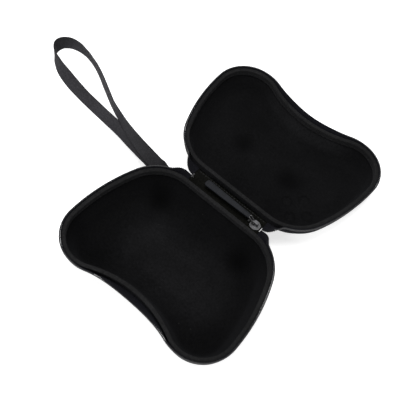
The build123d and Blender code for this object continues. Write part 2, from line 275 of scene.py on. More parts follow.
def lay_section(name, corners, filled=True):
    """A disc primitive whose edge is laid on a section, one vertex to each corner."""
    bpy.ops.object.select_all(action="DESELECT")
    fill = "NGON" if filled else "NOTHING"
    bpy.ops.mesh.primitive_circle_add(vertices=len(corners), radius=mm, fill_type=fill)
    piece = bpy.context.object
    piece.name = name
    piece.data.name = name
    for vertex, corner in zip(piece.data.vertices, corners):
        vertex.co = corner
    while piece.data.uv_layers:
        piece.data.uv_layers.remove(piece.data.uv_layers[0])
    return piece


def start_edit(piece, select="SELECT"):
    """Opens a piece in edit mode with all or nothing selected."""
    select_only(piece)
    bpy.ops.object.mode_set(mode="EDIT")
    bpy.ops.mesh.select_mode(type="VERT")
    bpy.ops.mesh.select_all(action=select)


def end_edit():
    """Back to object mode."""
    bpy.ops.object.mode_set(mode="OBJECT")


def pick(piece, mode, test):
    """Selects in edit mode the vertices, edges or faces that pass a test."""
    bpy.ops.mesh.select_mode(type=mode)
    bpy.ops.mesh.select_all(action="DESELECT")
    shape = bmesh.from_edit_mesh(piece.data)
    for part in {"VERT": shape.verts, "EDGE": shape.edges, "FACE": shape.faces}[mode]:
        if test(part):
            part.select_set(True)
    bmesh.update_edit_mesh(piece.data)


def apply_modifier(piece, kind, **settings):
    """Adds a modifier, sets it up and applies it."""
    select_only(piece)
    modifier = piece.modifiers.new(kind.title(), kind)
    for name, value in settings.items():
        setattr(modifier, name, value)
    bpy.ops.object.modifier_apply(modifier=modifier.name)


def carry_half_rim(spacing):
    """Carries the selected section from the hinge's middle along the straight and round every arc."""
    steps = max(1, round(flat_half / spacing))
    for _ in range(steps):
        bpy.ops.mesh.extrude_region_move(TRANSFORM_OT_translate={"value": (flat_half / steps, 0, 0)})
    for span in rim_spans[1:]:
        bpy.ops.mesh.spin(
            steps=max(2, round(span["length"] / spacing)),
            angle=-span["turn"],
            center=(span["centre"].x, span["centre"].y, 0),
            axis=(0, 0, 1),
        )


def close_rim(piece):
    """Opens the ends at the middle line and mirrors the half round the rim into a whole one."""
    pick(piece, "FACE", lambda face: all(abs(vertex.co.x) < 0.01 * mm for vertex in face.verts))
    bpy.ops.mesh.delete(type="ONLY_FACE")
    end_edit()
    apply_modifier(piece, "MIRROR", use_axis=(True, False, False), merge_threshold=0.02 * mm)


def point_outwards(piece):
    """Turns every face of a closed piece outwards."""
    start_edit(piece)
    bpy.ops.mesh.remove_doubles(threshold=0.001 * mm)
    bpy.ops.mesh.normals_make_consistent(inside=False)
    end_edit()


def carry_section(piece, places):
    """Extrudes the section through a list of places, and keeps how far along and across each vertex lies."""
    start_edit(piece)
    shape = bmesh.from_edit_mesh(piece.data)
    along = shape.verts.layers.float.new("along")
    across = shape.verts.layers.float.new("across")
    home = places[0][1].inverted()
    for vertex in shape.verts:
        vertex[across] = (home @ vertex.co).x
        vertex[along] = places[0][0]
    bmesh.update_edit_mesh(piece.data)
    for (_, first), (distance, second) in zip(places, places[1:]):
        bpy.ops.mesh.extrude_region_move()
        shape = bmesh.from_edit_mesh(piece.data)
        along = shape.verts.layers.float["along"]
        step = second @ first.inverted()
        for vertex in shape.verts:
            if vertex.select:
                vertex.co = step @ vertex.co
                vertex[along] = distance
        bmesh.update_edit_mesh(piece.data)
    end_edit()


def write_run_map(piece, spot_of):
    """Writes the UV map of a piece that follows a path, in metres along and across it."""
    layer = piece.data.uv_layers.new(name="run")
    spots = [spot_of(vertex) for vertex in piece.data.vertices]
    for loop in piece.data.loops:
        layer.data[loop.index].uv = spots[loop.vertex_index]


def write_painted_shade(piece, painted_shade_of):
    """Writes each vertex's painted light and shade as its tone, which cloth made with painted shade reads."""
    tone = piece.data.attributes.new("tone", "FLOAT", "POINT")
    for vertex in piece.data.vertices:
        tone.data[vertex.index].value = painted_shade_of(vertex.co)


def ring_corners(radius, count):
    """Corners of a round section."""
    angles = [2 * pi * turn / count for turn in range(count)]
    return [(radius * cos(angle), radius * sin(angle)) for angle in angles]


def sweep(name, corners, places, mapped=False):
    """A closed piece: a flat section laid on the first place and carried through the others."""
    first = places[0][1]
    piece = lay_section(name, [first @ Vector((x, y, 0)) for x, y in corners])
    carry_section(piece, places)
    point_outwards(piece)
    if mapped:
        along = [run.value for run in piece.data.attributes["along"].data]
        across = [run.value for run in piece.data.attributes["across"].data]
        write_run_map(piece, lambda vertex: (along[vertex.index], across[vertex.index]))
    for key in ("along", "across"):
        piece.data.attributes.remove(piece.data.attributes[key])
    return piece


def repeat(name, source, places):
    """One mesh with a copy of the source at each place. The source is used up."""
    whole = bmesh.new()
    for place in places:
        copy = source.data.copy()
        copy.transform(place)
        whole.from_mesh(copy)
        bpy.data.meshes.remove(copy)
    source.name = name
    source.data.name = name
    whole.to_mesh(source.data)
    whole.free()
    return source


def finish_piece(piece, material, body=None, replaced=(), angle=40):
    """Gives a piece its material, shading and body, and hides the CAD nodes that it stands for."""
    piece.data.materials.clear()
    piece.data.materials.append(material)
    select_only(piece)
    bpy.ops.object.shade_smooth_by_angle(angle=radians(angle))
    if body:
        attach(piece, body)
    if replaced:
        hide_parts(*replaced)
    return piece


def frame_of(origin, x_axis, y_axis, z_axis):
    """Matrix that lays a piece's x, y and z on three directions at a point."""
    place = Matrix((x_axis, y_axis, z_axis)).transposed().to_4x4()
    place.translation = origin
    return place


# Material helpers


def feed(tree, socket, value):
    """Links an output to a socket, or writes a plain value there."""
    if isinstance(value, bpy.types.NodeSocket):
        tree.links.new(value, socket)
    else:
        socket.default_value = value


def calc(tree, operation, *values):
    """Output of a math node fed with numbers or outputs."""
    made = tree.nodes.new("ShaderNodeMath")
    made.operation = operation
    for socket, value in zip(made.inputs, values):
        feed(tree, socket, value)
    return made.outputs[0]


def stretch(tree, vector, scale):
    """A vector multiplied axis by axis."""
    made = tree.nodes.new("ShaderNodeVectorMath")
    made.operation = "MULTIPLY"
    feed(tree, made.inputs[0], vector)
    feed(tree, made.inputs[1], scale)
    return made.outputs[0]


def blend_colours(tree, share, first, second):
    """Colour between two colours."""
    made = tree.nodes.new("ShaderNodeMix")
    made.data_type = "RGBA"
    feed(tree, made.inputs[0], share)
    feed(tree, made.inputs[6], first)
    feed(tree, made.inputs[7], second)
    return made.outputs[2]


def dim(tree, colour, share):
    """A colour made lighter or darker by a share."""
    made = tree.nodes.new("ShaderNodeVectorMath")
    made.operation = "SCALE"
    feed(tree, made.inputs[0], colour)
    feed(tree, made.inputs["Scale"], share)
    return made.outputs[0]


def add_noise(tree, vector, scale, detail=3.0, roughness=0.5):
    """Value of a noise texture."""
    made = tree.nodes.new("ShaderNodeTexNoise")
    feed(tree, made.inputs["Vector"], vector)
    made.inputs["Scale"].default_value = scale
    made.inputs["Detail"].default_value = detail
    made.inputs["Roughness"].default_value = roughness
    return made.outputs["Fac"]


def remap(tree, value, low, high, first=0.0, second=1.0):
    """Value stretched from one range to another and held there."""
    made = tree.nodes.new("ShaderNodeMapRange")
    made.clamp = True
    feed(tree, made.inputs["Value"], value)
    for socket, number in (("From Min", low), ("From Max", high), ("To Min", first), ("To Max", second)):
        made.inputs[socket].default_value = number
    return made.outputs["Result"]


def new_group(name, ins, outs):
    """Empty node group with named inputs and outputs."""
    group = bpy.data.node_groups.new(name, "ShaderNodeTree")
    for socket, kind, default in ins:
        made = group.interface.new_socket(name=socket, in_out="INPUT", socket_type=kind)
        if default is not None:
            made.default_value = default
    for socket, kind in outs:
        group.interface.new_socket(name=socket, in_out="OUTPUT", socket_type=kind)
    entry = group.nodes.new("NodeGroupInput")
    leave = group.nodes.new("NodeGroupOutput")
    return group, entry.outputs, leave.inputs


def woven_group():
    """Plain weave: warp and weft cross over and under, with the gaps between the threads."""
    if "woven_threads" in bpy.data.node_groups:
        return bpy.data.node_groups["woven_threads"]
    group, given, put = new_group(
        "woven_threads",
        (("Vector", "NodeSocketVector", None), ("Threads", "NodeSocketVector", (1600.0, 1600.0, 1.0))),
        (("Height", "NodeSocketFloat"), ("Gap", "NodeSocketFloat")),
    )
    parts = group.nodes.new("ShaderNodeSeparateXYZ")
    feed(group, parts.inputs[0], stretch(group, given["Vector"], given["Threads"]))
    warp = calc(group, "SINE", calc(group, "MULTIPLY", calc(group, "FRACT", parts.outputs[0]), pi))
    weft = calc(group, "SINE", calc(group, "MULTIPLY", calc(group, "FRACT", parts.outputs[1]), pi))
    steps = calc(group, "ADD", calc(group, "FLOOR", parts.outputs[0]), calc(group, "FLOOR", parts.outputs[1]))
    over = calc(group, "PINGPONG", steps, 1.0)
    under = calc(group, "SUBTRACT", 1.0, over)
    warp_top = calc(group, "MULTIPLY", warp, calc(group, "MULTIPLY_ADD", weft, 0.5, 0.5))
    weft_top = calc(group, "MULTIPLY", weft, calc(group, "MULTIPLY_ADD", warp, 0.5, 0.5))
    height = calc(group, "MULTIPLY_ADD", warp_top, over, calc(group, "MULTIPLY", weft_top, under))
    feed(group, put["Height"], height)
    feed(group, put["Gap"], remap(group, height, 0.05, 0.4, 1.0, 0.0))
    return group


def knit_group():
    """Fine knit: columns of leaning loops."""
    if "knit_loops" in bpy.data.node_groups:
        return bpy.data.node_groups["knit_loops"]
    group, given, put = new_group(
        "knit_loops",
        (("Vector", "NodeSocketVector", None), ("Loops", "NodeSocketVector", (1200.0, 900.0, 1.0))),
        (("Height", "NodeSocketFloat"), ("Gap", "NodeSocketFloat")),
    )
    parts = group.nodes.new("ShaderNodeSeparateXYZ")
    feed(group, parts.inputs[0], stretch(group, given["Vector"], given["Loops"]))
    column = calc(group, "FRACT", parts.outputs[0])
    lean = calc(group, "ABSOLUTE", calc(group, "SUBTRACT", column, 0.5))
    row = calc(group, "FRACT", calc(group, "ADD", parts.outputs[1], lean))
    crown = calc(group, "SINE", calc(group, "MULTIPLY", column, pi))
    loop = calc(group, "SINE", calc(group, "MULTIPLY", row, pi))
    height = calc(group, "MULTIPLY", crown, loop)
    feed(group, put["Height"], height)
    feed(group, put["Gap"], remap(group, height, 0.0, 0.35, 1.0, 0.0))
    return group


def tone_group():
    """Cloth colour with faint patches, fluff and single specks of lint."""
    if "cloth_tone" in bpy.data.node_groups:
        return bpy.data.node_groups["cloth_tone"]
    group, given, put = new_group(
        "cloth_tone",
        (
            ("Vector", "NodeSocketVector", None),
            ("Colour", "NodeSocketColor", (0.01, 0.01, 0.01, 1)),
            ("Lint", "NodeSocketFloat", 0.5),
        ),
        (("Colour", "NodeSocketColor"), ("Fluff", "NodeSocketFloat")),
    )
    patches = remap(group, add_noise(group, given["Vector"], 28.0), 0.3, 0.7, 0.78, 1.25)
    fibres = remap(group, add_noise(group, given["Vector"], 650.0, 3.0, 0.75), 0.3, 0.72, 0.55, 1.55)
    tone = dim(group, given["Colour"], calc(group, "MULTIPLY", patches, fibres))
    cells = group.nodes.new("ShaderNodeTexVoronoi")
    feed(group, cells.inputs["Vector"], given["Vector"])
    cells.inputs["Scale"].default_value = 75.0
    chosen = calc(group, "GREATER_THAN", add_noise(group, given["Vector"], 31.0, 0.0), 0.56)
    speck = remap(group, cells.outputs["Distance"], 0.018, 0.034, 1.0, 0.0)
    fluff = calc(group, "MULTIPLY", calc(group, "MULTIPLY", speck, chosen), given["Lint"])
    feed(group, put["Colour"], blend_colours(group, fluff, tone, (0.05, 0.05, 0.047, 1)))
    feed(group, put["Fluff"], fluff)
    return group


def metal_group():
    """Painted metal, rubbed and finely scratched."""
    if "rubbed_metal" in bpy.data.node_groups:
        return bpy.data.node_groups["rubbed_metal"]
    group, given, put = new_group(
        "rubbed_metal",
        (("Vector", "NodeSocketVector", None), ("Colour", "NodeSocketColor", (0.1, 0.1, 0.1, 1))),
        (("Colour", "NodeSocketColor"), ("Roughness", "NodeSocketFloat"), ("Height", "NodeSocketFloat")),
    )
    rubs = remap(group, add_noise(group, given["Vector"], 420.0), 0.45, 0.7)
    scratches = add_noise(group, stretch(group, given["Vector"], (900.0, 6000.0, 2500.0)), 1.0, 2.0, 0.7)
    lighter = blend_colours(group, rubs, given["Colour"], (0.11, 0.11, 0.115, 1))
    feed(group, put["Colour"], lighter)
    feed(group, put["Roughness"], remap(group, scratches, 0.3, 0.7, 0.5, 0.66))
    feed(group, put["Height"], scratches)
    return group


def grain_group():
    """Moulded plastic: a fine even grain with small rub marks."""
    if "moulded_grain" in bpy.data.node_groups:
        return bpy.data.node_groups["moulded_grain"]
    group, given, put = new_group(
        "moulded_grain",
        (("Vector", "NodeSocketVector", None), ("Colour", "NodeSocketColor", (0.02, 0.02, 0.02, 1))),
        (("Colour", "NodeSocketColor"), ("Roughness", "NodeSocketFloat"), ("Height", "NodeSocketFloat")),
    )
    grain = add_noise(group, given["Vector"], 4200.0, 2.0, 0.6)
    rubs = remap(group, add_noise(group, given["Vector"], 160.0), 0.45, 0.72)
    feed(group, put["Colour"], dim(group, given["Colour"], remap(group, rubs, 0.0, 1.0, 0.9, 1.5)))
    feed(group, put["Roughness"], remap(group, grain, 0.3, 0.7, 0.42, 0.6))
    feed(group, put["Height"], grain)
    return group


def add_group(tree, group, **feeds):
    """Places a node group and feeds its named inputs."""
    made = tree.nodes.new("ShaderNodeGroup")
    made.node_tree = group
    for socket, value in feeds.items():
        feed(tree, made.inputs[socket], value)
    return made.outputs


def new_finish(name, **sockets):
    """A material with one Principled shader and its plain values."""
    material = bpy.data.materials.new(name)
    material.use_nodes = True
    tree = material.node_tree
    shader = tree.nodes["Principled BSDF"]
    for socket, value in sockets.items():
        shader.inputs[socket.replace("_", " ")].default_value = value
    return material, tree, shader


def add_bump(tree, shader, height, depth, strength=1.0):
    """Feeds a height into the shader's normal."""
    bump = tree.nodes.new("ShaderNodeBump")
    bump.inputs["Strength"].default_value = strength
    bump.inputs["Distance"].default_value = depth
    feed(tree, bump.inputs["Height"], height)
    feed(tree, shader.inputs["Normal"], bump.outputs["Normal"])


def object_place(tree):
    """Object coordinates, in metres."""
    return tree.nodes.new("ShaderNodeTexCoord").outputs["Object"]


def run_place(tree):
    """The piece's own map, in metres along and across."""
    made = tree.nodes.new("ShaderNodeUVMap")
    made.uv_map = "run"
    return made.outputs["UV"]


def cloth(name, colour, pattern, threads, depth, lint, roughness=0.92, sheen=0.03, gloss=0.08, with_painted_shade=False):
    """Woven or knitted cloth that follows the piece's run map and, if with painted shade, the painted light
    and shade kept on it as its tone.
    """
    material, tree, shader = new_finish(
        name, Roughness=roughness, Sheen_Weight=sheen, Sheen_Roughness=0.6, Specular_IOR_Level=gloss
    )
    shader.inputs["Sheen Tint"].default_value = (0.55, 0.56, 0.62, 1)
    names = {"woven": (woven_group, "Threads"), "knit": (knit_group, "Loops")}
    make, count = names[pattern]
    threads_out = add_group(tree, make(), **{"Vector": run_place(tree), count: (*threads, 1.0)})
    tone = add_group(tree, tone_group(), Vector=object_place(tree), Colour=(*colour, 1), Lint=lint)
    colour_out = tone["Colour"]
    # Painted light and shade: the tone attribute scales the cloth's colour.
    if with_painted_shade:
        painted_shade = tree.nodes.new("ShaderNodeAttribute")
        painted_shade.attribute_name = "tone"
        colour_out = dim(tree, colour_out, painted_shade.outputs["Fac"])
    gap = calc(tree, "MULTIPLY", threads_out["Gap"], 0.55)
    feed(tree, shader.inputs["Base Color"], blend_colours(tree, gap, colour_out, (0.001, 0.001, 0.001, 1)))
    raised = calc(tree, "ADD", threads_out["Height"], calc(tree, "MULTIPLY", tone["Fluff"], 2.0))
    add_bump(tree, shader, raised, depth)
    return material


def lining_cloth():
    """Fine brushed knit."""
    soft = {"sheen": 0.02, "gloss": 0.03, "with_painted_shade": True}
    return cloth("lining_knit", colours().lining, "knit", (1100, 800), 0.10 * mm, 0.9, **soft)


def shell_cloth():
    """Plain coated weave."""
    coated = {"roughness": 0.75, "sheen": 0.02}
    return cloth("shell_weave", colours().shell, "woven", (1500, 1500), 0.09 * mm, 0.25, **coated)


def binding_cloth():
    """Ribbed binding tape."""
    return cloth("binding_weave", colours().binding, "woven", (1250, 1900), 0.10 * mm, 0.3)


def tape_cloth():
    """Close weave of the zip tape."""
    return cloth("zip_tape_weave", colours().tape, "woven", (1700, 1300), 0.09 * mm, 0.2)


def strap_cloth():
    """Coarse weave of the wrist strap."""
    shiny = {"roughness": 0.8, "gloss": 0.15, "with_painted_shade": True}
    return cloth("strap_weave", colours().webbing, "woven", (760, 1150), 0.22 * mm, 0.2, **shiny)


def hinge_cloth():
    """Ribbed cloth of the fabric hinge."""
    dull = {"sheen": 0.01, "gloss": 0.03}
    return cloth("hinge_weave", colours().hinge, "woven", (1500, 2200), 0.10 * mm, 0.6, **dull)


def moulded(name, colour, depth, **sockets):
    """Moulded plastic or waxed thread, by place on the object."""
    material, tree, shader = new_finish(name, **sockets)
    grain = add_group(tree, grain_group(), Vector=object_place(tree), Colour=(*colour, 1))
    feed(tree, shader.inputs["Base Color"], grain["Colour"])
    feed(tree, shader.inputs["Roughness"], grain["Roughness"])
    add_bump(tree, shader, grain["Height"], depth)
    return material


def nylon():
    """Nylon of the zip's teeth."""
    return moulded("zip_nylon", colours().coil, 0.01 * mm, Specular_IOR_Level=0.3)


def thread():
    """Sewing thread."""
    return moulded("sewing_thread", colours().thread, 0.03 * mm, Sheen_Weight=0.05, Specular_IOR_Level=0.15)


def pull_plastic():
    """Soft moulded plastic of the zip pull."""
    return moulded("pull_plastic", colours().pull, 0.02 * mm, Specular_IOR_Level=0.12)


def dark_metal():
    """Dark rubbed metal."""
    material, tree, shader = new_finish("dark_rubbed_metal", Metallic=1.0)
    worn = add_group(tree, metal_group(), Vector=object_place(tree), Colour=(*colours().metal, 1))
    feed(tree, shader.inputs["Base Color"], worn["Colour"])
    feed(tree, shader.inputs["Roughness"], worn["Roughness"])
    add_bump(tree, shader, worn["Height"], 0.01 * mm, 0.5)
    return material


def kept(make):
    """The material that a function makes, made once."""
    found = getattr(kept, "made", {})
    if make.__name__ not in found:
        found[make.__name__] = make()
    kept.made = found
    return found[make.__name__]


# Bowls: linings and shells


def wall_section(inset, depth, rounding):
    """Corners of a half's wall from the rim to the floor: upright, drafted and rounded into the floor."""
    foot_inset = inset + (depth - seam_depth) * tan(wall_draft)
    reach = rounding * tan((pi / 2 - wall_draft) / 2)
    arc_inset = foot_inset + reach
    arc_height = -depth + rounding
    corners = [(inset, -seam_depth * share / 4) for share in range(5)]
    tangent_inset = foot_inset - reach * sin(wall_draft)
    tangent_height = -depth + reach * cos(wall_draft)
    rise = -seam_depth - tangent_height
    for share in range(1, 9):
        corners.append((inset + (tangent_inset - inset) * share / 8, -seam_depth - rise * share / 8))
    for share in range(1, 11):
        turned = (pi / 2 - wall_draft) * share / 10
        angle = pi + wall_draft + turned
        corners.append((arc_inset + rounding * cos(angle), arc_height + rounding * sin(angle)))
    ring = arc_inset
    while ring < 27 * mm:
        ring = min(ring + 1.3 * mm, 27 * mm)
        corners.append((ring, -depth))
    return corners


def add_bowl(name, corners, floor_height):
    """A sheet from the rim down and across the floor, closed at its middle."""
    piece = lay_section(name, [(0, inset, height) for inset, height in corners], filled=False)
    start_edit(piece)
    last = len(corners) - 1
    pick(piece, "EDGE", lambda edge: {vertex.index for vertex in edge.verts} == {0, last})
    bpy.ops.mesh.delete(type="EDGE")
    bpy.ops.mesh.select_mode(type="VERT")
    bpy.ops.mesh.select_all(action="SELECT")
    carry_half_rim(sizes().mesh_spacing)
    end_edit()
    apply_modifier(piece, "MIRROR", use_axis=(True, False, False), merge_threshold=0.02 * mm)
    start_edit(piece, "DESELECT")

    def on_floor_edge(edge):
        return edge.is_boundary and all(abs(vertex.co.z - floor_height) < 0.01 * mm for vertex in edge.verts)

    pick(piece, "EDGE", on_floor_edge)
    rings = 44
    centre = (0, 60 * mm, floor_height)
    for ring in range(rings):
        shrink = (rings - ring - 1 + 0.5) / (rings - ring + 0.5)
        bpy.ops.mesh.extrude_region_move()
        bpy.ops.transform.resize(value=(shrink, shrink, 1), center_override=centre)
    bpy.ops.mesh.edge_face_add()
    bpy.ops.mesh.select_all(action="SELECT")
    bpy.ops.mesh.normals_make_consistent(inside=False)
    end_edit()
    return piece


def face_sheet(piece, floor_height, upwards):
    """Turns a sheet so that its floor faces up or down."""
    low = min(piece.data.polygons, key=lambda face: abs(face.center.z - floor_height) + face.center.x**2)
    if (low.normal.z > 0) != upwards:
        start_edit(piece)
        bpy.ops.mesh.flip_normals()
        end_edit()


def write_bowl_map(piece):
    """Map of a bowl: along and down the wall, and plain x and y on the floor."""
    layer = piece.data.uv_layers.new(name="run")
    for face in piece.data.polygons:
        flat = abs(face.normal.z) > 0.75
        for loop_index in face.loop_indices:
            spot = piece.data.vertices[piece.data.loops[loop_index].vertex_index].co
            if flat:
                layer.data[loop_index].uv = (spot.x, spot.y)
            else:
                distance, inset = unroll(spot.x, spot.y)
                layer.data[loop_index].uv = (distance, hypot(inset, spot.z))


def box_distance(x, y, width, height, rounding):
    """Distance outside a rounded rectangle about the origin, negative inside."""
    over_x = abs(x) - width / 2 + rounding
    over_y = abs(y) - height / 2 + rounding
    return hypot(max(over_x, 0), max(over_y, 0)) + min(max(over_x, over_y), 0) - rounding


def dent(x, y, centre_x, centre_y, radius):
    """1 at a dent's middle, falling smoothly to 0 at its radius."""
    return ease(1 - hypot(x - centre_x, y - centre_y) / radius)


def button_reach(x, y):
    """Distances from the middles of the lid's four button places."""
    over_x, over_y = x - 45.6 * mm, y - 39 * mm
    return [hypot(over_x - reach_x, over_y - reach_y) for reach_x, reach_y in ring_corners(11.2 * mm, 4)]


def base_relief(x, y):
    """Height of the base's moulded floor: a low broad mound and two pockets by the hinge."""
    mound = box_distance(x, y - 60 * mm, 72 * mm, 46 * mm, 15.3 * mm)
    lift = 2.6 * mm * ease((2.5 * mm - mound) / (10 * mm))
    pockets = dent(abs(x), y, 43 * mm, 32 * mm, 14 * mm)
    return lift - 1.6 * mm * pockets


def lid_relief(x, y):
    """Height of the lid's moulded floor: places for two sticks, a cross pad and four buttons."""
    sticks = max(dent(x, y, -30.5 * mm, 60 * mm, 15 * mm), dent(x, y, 23 * mm, 54.5 * mm, 15 * mm))
    lift = -2.7 * mm * sticks
    pad_x, pad_y = x + 48 * mm, y - 41 * mm
    arms = ((24 * mm, 8 * mm), (8 * mm, 24 * mm))
    pad = min(box_distance(pad_x, pad_y, width, height, 2.5 * mm) for width, height in arms)
    lift -= 0.8 * mm * ease((1.0 * mm - pad) / (3.0 * mm))
    for reach in button_reach(x, y):
        lift -= 0.9 * mm * ease((5.6 * mm - reach) / (2.6 * mm))
    return lift


def base_painted_light_and_shade(x, y, _height):
    """Painted light and shade of the base's lining: lighter on the mound, painted shade by the walls and in
    the pockets.
    """
    mound = box_distance(x, y - 62 * mm, 100 * mm, 60 * mm, 25 * mm)
    # Painted shade: lighter on the mound, darker towards the walls.
    painted_light_and_shade = 0.62 + 0.75 * ease((16 * mm - mound) / (34 * mm))
    # Painted shade in the two pockets by the hinge.
    painted_hollow_shade = max(dent(x, y, 50 * mm, 19 * mm, 17 * mm), dent(x, y, -39 * mm, 17 * mm, 19 * mm))
    return painted_light_and_shade * (1 - 0.75 * painted_hollow_shade)


def lid_painted_light_and_shade(x, y, height):
    """Painted light and shade of the lid's lining: painted light on the waist's wall, painted shade round the
    buttons and in the sticks' hollows.
    """
    # Painted shade in the sticks' hollows.
    painted_hollow_shade = max(dent(x, y, -31 * mm, 60 * mm, 17 * mm), dent(x, y, 22.5 * mm, 56 * mm, 20 * mm))
    # Painted light on the waist's wall.
    waist = ease((y - 62 * mm) / (30 * mm)) * ease((58 * mm - abs(x)) / (30 * mm))
    painted_light_and_shade = 0.86 + 0.75 * waist * ease((height - 3 * mm) / (7 * mm))
    # Painted shade in a ring round each button's dish.
    for reach in button_reach(x, y):
        painted_light_and_shade *= 1 - 0.3 * ease(1 - abs(reach - 4.6 * mm) / (1.8 * mm))
    return painted_light_and_shade * (1 - 0.6 * painted_hollow_shade)


reliefs = {"base": (base_relief, base_painted_light_and_shade), "lid": (lid_relief, lid_painted_light_and_shade)}


def shape_lining(piece, side, floor_height):
    """Moves the lining's vertices to the moulded relief and lets the cloth ripple a little."""
    relief, painted_light_of = reliefs[side]
    height = sizes().wrinkle_height
    shift = 0.0 if side == "base" else 7.0
    # The tone attribute holds painted light and shade, which the lining's cloth multiplies into its colour.
    write_painted_shade(piece, lambda spot: painted_light_of(spot.x, spot.y, spot.z - floor_height))
    for vertex in piece.data.vertices:
        spot = vertex.co
        if spot.z < floor_height + 0.01 * mm:
            spot.z += relief(spot.x, spot.y)
        distance, inset = unroll(spot.x, spot.y)
        if -7.5 * mm > spot.z > floor_height + 3 * mm:
            _, _, outwards = rim_spot(abs(distance), 1 if distance >= 0 else -1)
            ripple = noise.noise(Vector((distance * 55, spot.z * 130, shift)))
            crease = max(0.0, noise.noise(Vector((distance * 26, spot.z * 20, shift + 3)))) ** 2
            spot -= outwards * height * (0.5 * ripple + 1.6 * crease) * ease((-spot.z - 7 * mm) / (5 * mm))


def build_bowl(side, kind):
    """Lining or outer cloth of one half."""
    if kind == "lining":
        inset = wall_thickness + lining_thickness
        depth = depths[side] - floor_thickness - lining_thickness
        rounding = foot_rounding - floor_thickness - lining_thickness
    else:
        inset, depth, rounding = 0.0, depths[side], foot_rounding
    piece = add_bowl(side + "_" + kind + "_cloth", wall_section(inset, depth, rounding), -depth)
    face_sheet(piece, -depth, kind == "lining")
    if kind == "lining":
        shape_lining(piece, side, -depth)
    write_bowl_map(piece)
    thickness = 0.45 * mm if kind == "lining" else 0.8 * mm
    apply_modifier(piece, "SOLIDIFY", thickness=thickness, offset=-1.0, use_even_offset=False)
    piece.data.transform(rims[side])
    material = kept(lining_cloth) if kind == "lining" else kept(shell_cloth)
    return finish_piece(piece, material, side, [side + "_" + kind], 60)


# Bindings and stitches


def make_stitch(length, thickness, rise):
    """One stitch along x, bowed up in z, its ends under the surface."""
    places = []
    for step in range(5):
        share = step / 4 * 2 - 1
        narrow = 0.55 if abs(share) == 1 else 1.0
        height = rise * (1 - share * share) - thickness * 0.35
        place = frame_of((share * length / 2, 0, height), (0, narrow, 0), (0, 0, narrow), (1, 0, 0))
        places.append((share * length / 2, place))
    return sweep("stitch", ring_corners(thickness / 2, 5), places)


def round_rim(pitch, start, place_at):
    """Places round the rim at a pitch, from a start distance on each side of the hinge's middle."""
    count = floor((half_length - start) / pitch)
    places = [place_at(start + pitch * step, side) for side in (1, -1) for step in range(count)]
    places.append(place_at(half_length, 1))
    return places


def build_binding(side):
    """Tape folded over the rim, with its stitches on the inner leg."""
    inner = rim_stack
    sheet = binding_thickness
    corners = [
        (-0.06 * mm, -0.2 * mm),
        (-0.06 * mm, 0.22 * mm),
        (0.1 * mm, 0.42 * mm),
        (0.4 * mm, 0.52 * mm),
        (inner / 2, 0.58 * mm),
        (inner - 0.45 * mm, 0.52 * mm),
        (inner - 0.12 * mm, 0.38 * mm),
        (inner + 0.02 * mm, 0.1 * mm),
        (inner + 0.04 * mm, -0.6 * mm),
        (inner + 0.02 * mm, -binding_leg * 0.5),
        (inner - 0.04 * mm, -binding_leg * 0.72),
        (inner + 0.03 * mm, -binding_leg * 0.86),
        (inner, -binding_leg + 0.15 * mm),
        (inner - 0.1 * mm, -binding_leg),
        (inner - sheet + 0.08 * mm, -binding_leg),
        (inner - sheet + 0.02 * mm, -binding_leg + 0.2 * mm),
        (inner - sheet + 0.02 * mm, 0.02 * mm),
        (0.05 * mm, 0.02 * mm),
        (0.03 * mm, -0.2 * mm),
    ]
    piece = lay_section(side + "_binding_tape", [(0, inset, height) for inset, height in corners])
    start_edit(piece)
    carry_half_rim(sizes().mesh_spacing)
    close_rim(piece)
    point_outwards(piece)

    def spot_of(vertex):
        distance, inset = unroll(vertex.co.x, vertex.co.y)
        return distance, inset - vertex.co.z

    write_run_map(piece, spot_of)
    piece.data.transform(rims[side])
    finish_piece(piece, kept(binding_cloth), side, [side + "_binding"])

    def place_at(distance, half):
        point, along, outwards = rim_spot(distance, half)
        spot = point - outwards * (inner + 0.02 * mm) + Vector((0, 0, -binding_leg * 0.72))
        return frame_of(spot, along, (-outwards).cross(along), -outwards)

    pitch = sizes().stitch_pitch
    stitches = repeat(
        side + "_binding_stitches",
        make_stitch(pitch * 0.78, 0.42 * mm, 0.16 * mm),
        round_rim(pitch, pitch / 2, place_at),
    )
    stitches.data.transform(rims[side])
    finish_piece(stitches, kept(thread), side)


# Zip tapes and teeth


def tape_lean(distance):
    """Outward lean of the zip tape: flat by the hinge, upright round the sides, leaning at the waist."""
    at_hinge = pi / 2 * (1 - ease((distance - tape_start) / hinge_twist_length))
    at_waist = waist_lean * (1 - ease((half_length - distance) / waist_reach))
    return at_hinge + at_waist


def tape_place(distance, side):
    """Frame across the zip tape: x from the seam to the teeth, y outwards, z along."""
    point, along, outwards = rim_spot(distance, side)
    lean = tape_lean(distance)
    across = Vector((0, 0, cos(lean))) + outwards * sin(lean)
    seam = point + outwards * cloth_clearance - Vector((0, 0, seam_depth))
    normal = along.cross(across)
    return frame_of(seam + across * tape_width / 2 + normal * tape_thickness / 2, across, normal, along)


def tape_places(spacing):
    """Frames across the tape from one end at the hinge, round the waist, to the other."""
    count = round((half_length - tape_start) / spacing)
    distances = [tape_start + (half_length - tape_start) * step / count for step in range(count + 1)]
    whole = [(distance, tape_place(distance, 1)) for distance in distances]
    back = [(2 * half_length - distance, tape_place(distance, -1)) for distance in reversed(distances[:-1])]
    return whole + back


def bend_at_hinge(piece, side):
    """Lets the flat ends of a half's zip turn with the hinge strip."""
    fold = base_fold_y if side == "base" else lid_fold_y
    towards = 1 if side == "base" else -1
    start = (0, fold + towards * 0.05 * mm, fold_height)
    end = (0, hinge_y - towards * 0.4 * mm, fold_height)
    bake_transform(piece, side, "hinge", start=start, end=end)


